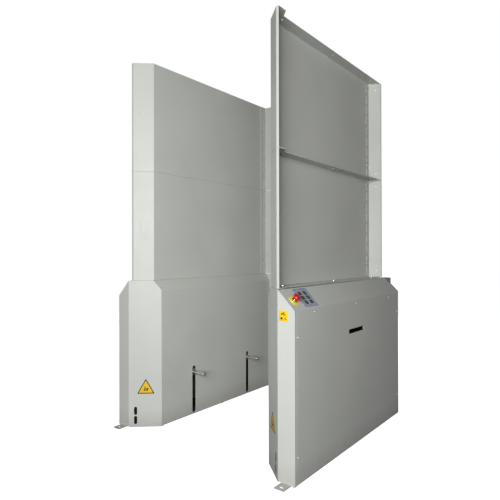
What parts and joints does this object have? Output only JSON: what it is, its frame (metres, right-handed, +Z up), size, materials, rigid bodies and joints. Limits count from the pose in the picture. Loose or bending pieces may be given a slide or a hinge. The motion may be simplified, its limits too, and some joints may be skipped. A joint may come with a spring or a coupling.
{
  "type": "pallet magazine",
  "caption": "Free-standing pallet magazine: two sheet-steel cabinets with guide towers, lifting pins and a sloped control panel.",
  "frame": {"origin": "on the floor, midway between the cabinets and midway along them", "axes": "+X to the right across the channel, +Y to the rear, +Z up"},
  "size_m": [1.406, 1.49, 2.406],
  "materials": {
    "grey_paint": "satin powder coat, light grey",
    "black_paint": "matt black paint",
    "dark_paint": "satin powder coat, dark grey",
    "motor_casting": "painted casting",
    "ground_steel": "ground and hardened",
    "machined_steel": "turned",
    "aluminium": "anodised",
    "bronze": "bearing bronze",
    "zinc_steel": "zinc plated",
    "galvanised_plate": "painted plate",
    "sign_yellow": "vinyl",
    "sensor_black": "black window",
    "black_polymer": "nylon",
    "cast_iron": "cast",
    "chrome": "polished",
    "stop_red": "moulded",
    "keypad_film": "membrane film",
    "box_grey": "painted"
  },
  "bodies": {
    "frame": {"left_base_frame": "black_paint", "left_inner_shell": "grey_paint", "left_slope_panel": "grey_paint", "left_outer_cover": "grey_paint", "left_rear_end_plate": "dark_paint", "left_lower_tower": "grey_paint", "left_upper_tower": "grey_paint", "left_rear_stops": "grey_paint", "left_drive_beam": "black_paint", "left_guide_rods": "ground_steel", "left_gearbox": "black_paint", "left_motor": "motor_casting", "right_base_frame": "black_paint", "right_inner_shell": "grey_paint", "right_slope_panel": "grey_paint", "right_outer_cover": "grey_paint", "right_rear_end_plate": "dark_paint", "right_lower_tower": "grey_paint", "right_upper_tower": "grey_paint", "right_rear_stops": "grey_paint", "right_drive_beam": "black_paint", "right_guide_rods": "ground_steel", "right_gearbox": "black_paint", "right_motor": "motor_casting", "anchor_lugs": "galvanised_plate", "lug_bolts": "zinc_steel", "tower_bolts": "zinc_steel", "tower_nuts": "zinc_steel", "cover_screws": "zinc_steel", "hazard_signs": "sign_yellow", "photocells": "sensor_black", "cable_glands": "black_polymer", "rod_clamps": "cast_iron", "screw_bearings": "cast_iron", "estop_plate": "sign_yellow", "estop_collar": "chrome", "estop_contacts": "sensor_black", "keypad": "keypad_film", "front_label": "sign_yellow", "control_box": "box_grey"},
    "left_lift": {"left_lift_carriage": "black_paint", "left_carriage_bushes": "bronze", "left_lift_nut": "bronze", "left_pin_housings": "aluminium", "left_pin_bushes": "bronze", "left_pin_motors": "motor_casting"},
    "left_pins": {"left_lift_pins": "ground_steel"},
    "left_screw": {"left_lift_screw": "ground_steel", "left_screw_coupling": "machined_steel"},
    "right_lift": {"right_lift_carriage": "black_paint", "right_carriage_bushes": "bronze", "right_lift_nut": "bronze", "right_pin_housings": "aluminium", "right_pin_bushes": "bronze", "right_pin_motors": "motor_casting"},
    "right_pins": {"right_lift_pins": "ground_steel"},
    "right_screw": {"right_lift_screw": "ground_steel", "right_screw_coupling": "machined_steel"},
    "estop_stem_body": {"estop_stem": "machined_steel"},
    "estop_head": {"estop_button": "stop_red"}
  },
  "joints": [
    {"name": "left_lift_slide", "type": "slide", "parent": "frame", "child": "left_lift", "axis": [0, 0, 1], "range_m": [-0.26, 0.01]},
    {"name": "left_pin_slide", "type": "slide", "parent": "left_lift", "child": "left_pins", "axis": [-1, 0, 0], "range_m": [0, 0.11]},
    {"name": "left_screw_spin", "type": "hinge", "parent": "frame", "child": "left_screw", "pos_m": [-0.52, 0.0665, 0.3], "axis": [0, 0, 1], "range_deg": [-7800, 300]},
    {"name": "right_lift_slide", "type": "slide", "parent": "frame", "child": "right_lift", "axis": [0, 0, 1], "range_m": [-0.26, 0.01]},
    {"name": "right_pin_slide", "type": "slide", "parent": "right_lift", "child": "right_pins", "axis": [1, 0, 0], "range_m": [0, 0.11]},
    {"name": "right_screw_spin", "type": "hinge", "parent": "frame", "child": "right_screw", "pos_m": [0.52, 0.0665, 0.3], "axis": [0, 0, 1], "range_deg": [-7800, 300]},
    {"name": "estop_press", "type": "slide", "parent": "frame", "child": "estop_stem_body", "axis": [-0.7071, 0, -0.7071], "range_m": [0, 0.004], "stiffness_N_per_m": 2500, "springref_m": -0.004},
    {"name": "estop_twist", "type": "hinge", "parent": "estop_stem_body", "child": "estop_head", "pos_m": [0.65519, -0.621, 0.90731], "axis": [-0.7071, 0, -0.7071], "range_deg": [0, 40], "stiffness_Nm_per_rad": 0.15}
  ],
  "couplings": [
    {"joint": "right_lift_slide", "follows": "left_lift_slide", "ratio": 1},
    {"joint": "right_pin_slide", "follows": "left_pin_slide", "ratio": 1},
    {"joint": "left_screw_spin", "follows": "left_lift_slide", "rad_per_m": 523.6},
    {"joint": "right_screw_spin", "follows": "left_lift_slide", "rad_per_m": 523.6}
  ]
}
